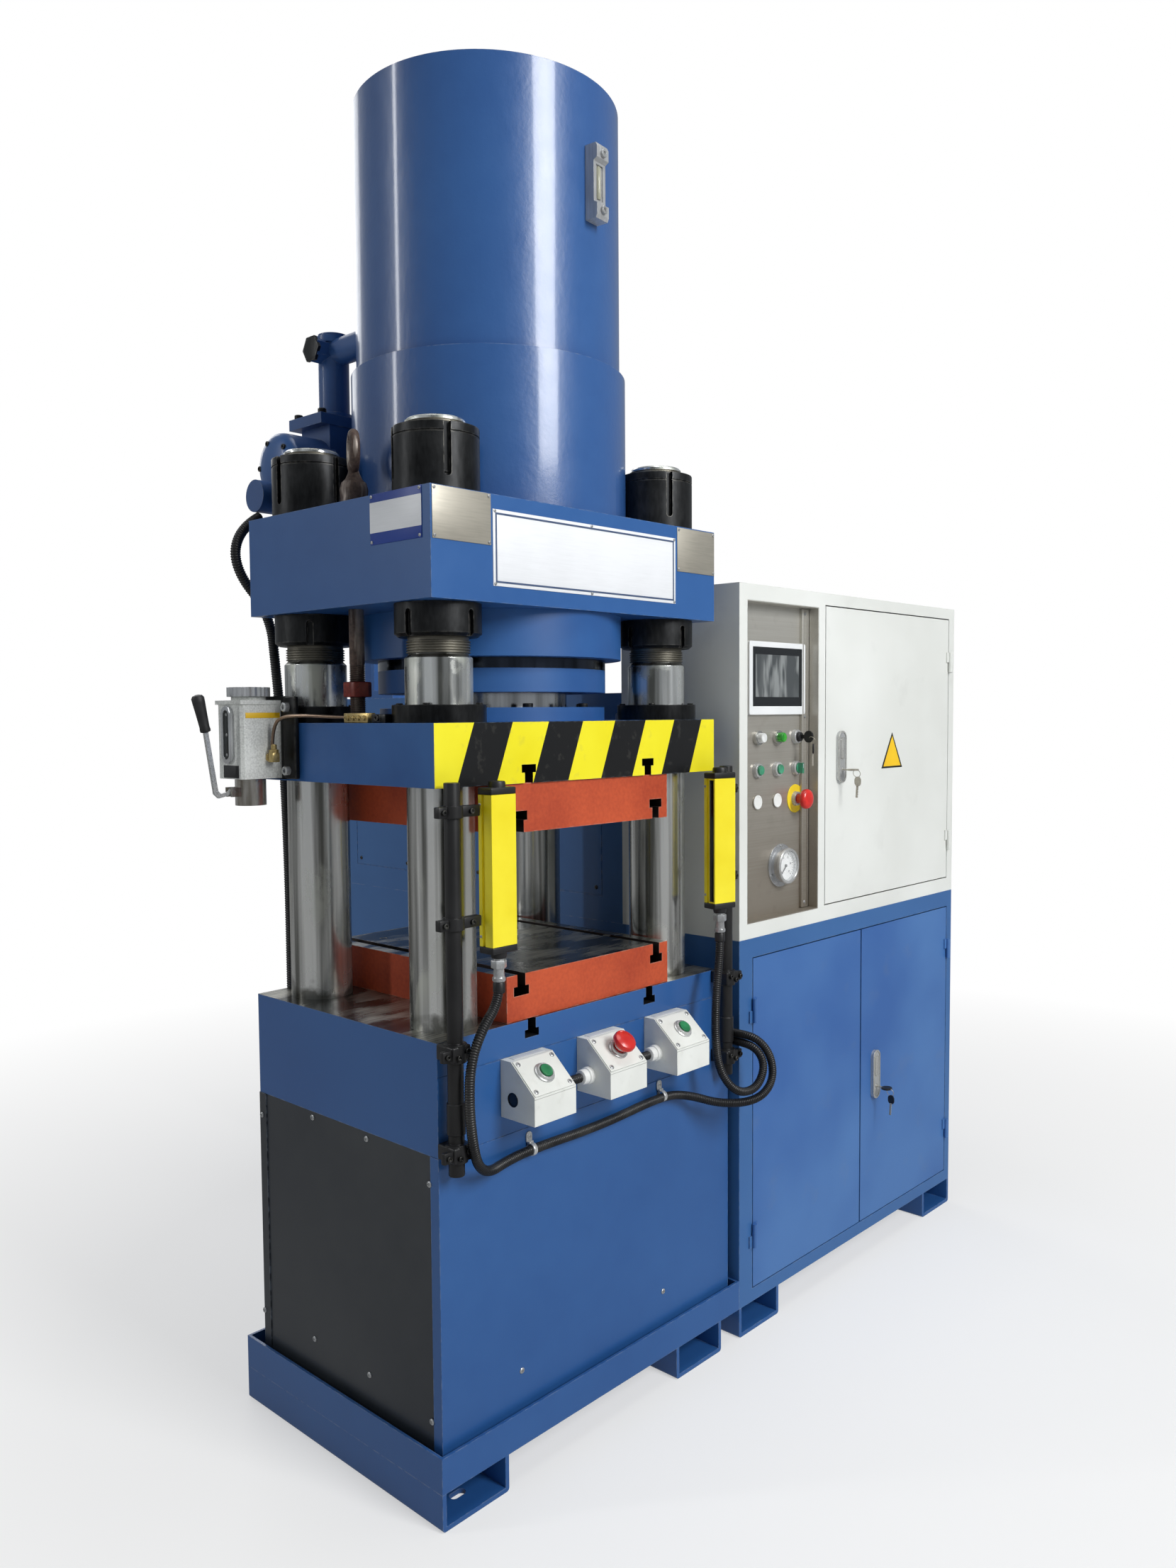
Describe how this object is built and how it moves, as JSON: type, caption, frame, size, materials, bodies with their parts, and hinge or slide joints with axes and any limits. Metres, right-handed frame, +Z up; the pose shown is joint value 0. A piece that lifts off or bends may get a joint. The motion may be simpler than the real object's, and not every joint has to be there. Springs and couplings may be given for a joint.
{
  "type": "four-column hydraulic press",
  "caption": "Four-column hydraulic press with a tall oil tank on its crown, T-slotted die plates, light curtains and a switch cabinet on a pump cabinet",
  "frame": {"origin": "on the floor, at the centre of the four anchor slots in the outer foot channels", "axes": "+Z up, the front faces -Y, the cabinet stands on the +X side of the press"},
  "size_m": [1.8218, 1.402, 2.319],
  "materials": {
    "press_blue": "gloss enamel",
    "cabinet_blue": "satin enamel",
    "cabinet_white": "satin enamel",
    "skirt_blue": "satin enamel",
    "hazard_blue": "gloss enamel with yellow and black stripes on the front",
    "plate_red": "primer red sides, ground faces",
    "polished_steel": "ground and oiled",
    "ram_chrome": "hard chrome",
    "black_oxide": "oiled black oxide",
    "rod_steel": "dark, partly rusted",
    "gauge_metal": "anodised, with a clear window",
    "lubricator_grey": "sand cast",
    "brass": "dull",
    "lever_steel": "bright, black grip",
    "cap_chrome": "knurled",
    "curtain_yellow": "powder coat",
    "black_plastic": "moulded",
    "conduit_black": "ribbed",
    "hose_black": "smooth",
    "box_white": "off-white moulding",
    "green_button": "moulded",
    "red_button": "moulded",
    "stainless": "brushed",
    "lamp_plastic": "clear lenses",
    "key_steel": "nickel plated",
    "touch_white": "white bezel with a dark screen",
    "gauge_chrome": "polished, white dial",
    "pointer_black": "matt",
    "switchgear": "light grey",
    "pump_grey": "enamel"
  },
  "bodies": {
    "press_frame": {"base_tray": "press_blue", "foot_channels": "press_blue", "bed": "press_blue", "skirt_front": "skirt_blue", "skirt_sheets": "skirt_blue", "column_front_left": "polished_steel", "column_front_right": "polished_steel", "column_rear_left": "polished_steel", "column_rear_right": "polished_steel", "column_nuts": "black_oxide", "crown": "press_blue", "main_cylinder": "press_blue", "oil_tank": "press_blue", "level_gauge": "gauge_metal", "stop_rod": "rod_steel", "bolster_plate": "plate_red", "light_curtains": "curtain_yellow", "curtain_fittings": "black_plastic", "curtain_stands": "black_oxide", "left_conduit": "conduit_black", "right_conduit": "conduit_black", "conduit_fittings": "box_white", "control_box_left": "box_white", "control_box_middle": "box_white", "control_box_right": "box_white", "cabinet_upper": "cabinet_white", "cabinet_lower": "cabinet_blue", "power_enclosure": "press_blue", "operator_panel": "stainless", "pilot_lamps": "lamp_plastic", "touch_panel": "touch_white", "pressure_gauge": "gauge_chrome", "switchgear_plate": "switchgear", "pump_unit": "pump_grey", "tank_motor": "press_blue", "rear_valves": "press_blue", "rear_hose": "hose_black"},
    "slide": {"slide": "hazard_blue", "guide_bushes": "black_oxide", "ram": "ram_chrome", "upper_plate": "plate_red", "lubricator": "lubricator_grey", "lube_line": "brass"},
    "lever": {"lubricator_lever": "lever_steel"},
    "cap": {"filler_cap": "cap_chrome"},
    "upper_door": {"upper_door": "cabinet_white"},
    "lower_left_door": {"lower_door_left": "cabinet_blue"},
    "lower_right_door": {"lower_door_right": "cabinet_blue"},
    "upper_key": {"upper_lock_key": "key_steel"},
    "lower_key": {"lower_lock_key": "key_steel"},
    "panel_key": {"switch_key": "key_steel"},
    "selector": {"selector_knob": "green_button"},
    "left_panel_button": {"panel_button_left": "green_button"},
    "right_panel_button": {"panel_button_right": "green_button"},
    "panel_stop": {"panel_stop_button": "red_button"},
    "left_box_button": {"box_button_left": "green_button"},
    "right_box_button": {"box_button_right": "green_button"},
    "box_stop": {"box_stop_button": "red_button"},
    "pointer": {"gauge_pointer": "pointer_black"}
  },
  "joints": [
    {"name": "slide_travel", "type": "slide", "parent": "press_frame", "child": "slide", "axis": [0, 0, -1], "range_m": [0, 0.225]},
    {"name": "lever_swing", "type": "hinge", "parent": "slide", "child": "lever", "pos_m": [-0.908, 0.175, 1.128], "axis": [0, -1, 0], "range_deg": [0, 35], "stiffness_Nm_per_rad": 0.6, "springref_deg": -20.05},
    {"name": "cap_turn", "type": "hinge", "parent": "slide", "child": "cap", "pos_m": [-0.873, 0.175, 1.297], "axis": [0, 0, 1], "range_deg": [0, 90]},
    {"name": "upper_door_swing", "type": "hinge", "parent": "press_frame", "child": "upper_door", "pos_m": [0.81675, -0.2805, 1.16], "axis": [0, 0, 1], "range_deg": [0, 110]},
    {"name": "lower_right_door_swing", "type": "hinge", "parent": "press_frame", "child": "lower_right_door", "pos_m": [0.81975, -0.2805, 0.43], "axis": [0, 0, 1], "range_deg": [0, 110]},
    {"name": "lower_left_door_swing", "type": "hinge", "parent": "press_frame", "child": "lower_left_door", "pos_m": [-0.02375, -0.2805, 0.43], "axis": [0, 0, -1], "range_deg": [0, 110]},
    {"name": "upper_lock_turn", "type": "hinge", "parent": "upper_door", "child": "upper_key", "pos_m": [0.304, -0.29, 1.131], "axis": [0, 1, 0], "range_deg": [0, 90]},
    {"name": "lower_lock_turn", "type": "hinge", "parent": "lower_right_door", "child": "lower_key", "pos_m": [0.462, -0.29, 0.392], "axis": [0, 1, 0], "range_deg": [0, 90]},
    {"name": "panel_key_turn", "type": "hinge", "parent": "press_frame", "child": "panel_key", "pos_m": [0.171, -0.26, 1.205], "axis": [0, 1, 0], "range_deg": [0, 90]},
    {"name": "selector_turn", "type": "hinge", "parent": "press_frame", "child": "selector", "pos_m": [0.171, -0.26, 1.139], "axis": [0, 1, 0], "range_deg": [0, 45]},
    {"name": "left_panel_button_press", "type": "slide", "parent": "press_frame", "child": "left_panel_button", "axis": [0, 1, 0], "range_m": [0, 0.004], "stiffness_N_per_m": 1250, "springref_m": -0.002},
    {"name": "right_panel_button_press", "type": "slide", "parent": "press_frame", "child": "right_panel_button", "axis": [0, 1, 0], "range_m": [0, 0.004], "stiffness_N_per_m": 1250, "springref_m": -0.002},
    {"name": "panel_stop_press", "type": "slide", "parent": "press_frame", "child": "panel_stop", "axis": [0, 1, 0], "range_m": [0, 0.004]},
    {"name": "left_box_button_press", "type": "slide", "parent": "press_frame", "child": "left_box_button", "axis": [0, 0.6635, -0.7482], "range_m": [0, 0.004], "stiffness_N_per_m": 1250, "springref_m": -0.002},
    {"name": "right_box_button_press", "type": "slide", "parent": "press_frame", "child": "right_box_button", "axis": [0, 0.6635, -0.7482], "range_m": [0, 0.004], "stiffness_N_per_m": 1250, "springref_m": -0.002},
    {"name": "box_stop_press", "type": "slide", "parent": "press_frame", "child": "box_stop", "axis": [0, 0.6635, -0.7482], "range_m": [0, 0.004]},
    {"name": "pointer_turn", "type": "hinge", "parent": "press_frame", "child": "pointer", "pos_m": [0.115, -0.262, 0.937], "axis": [0, 1, 0], "range_deg": [0, 270], "stiffness_Nm_per_rad": 0.0005, "springref_deg": -17.19}
  ]
}
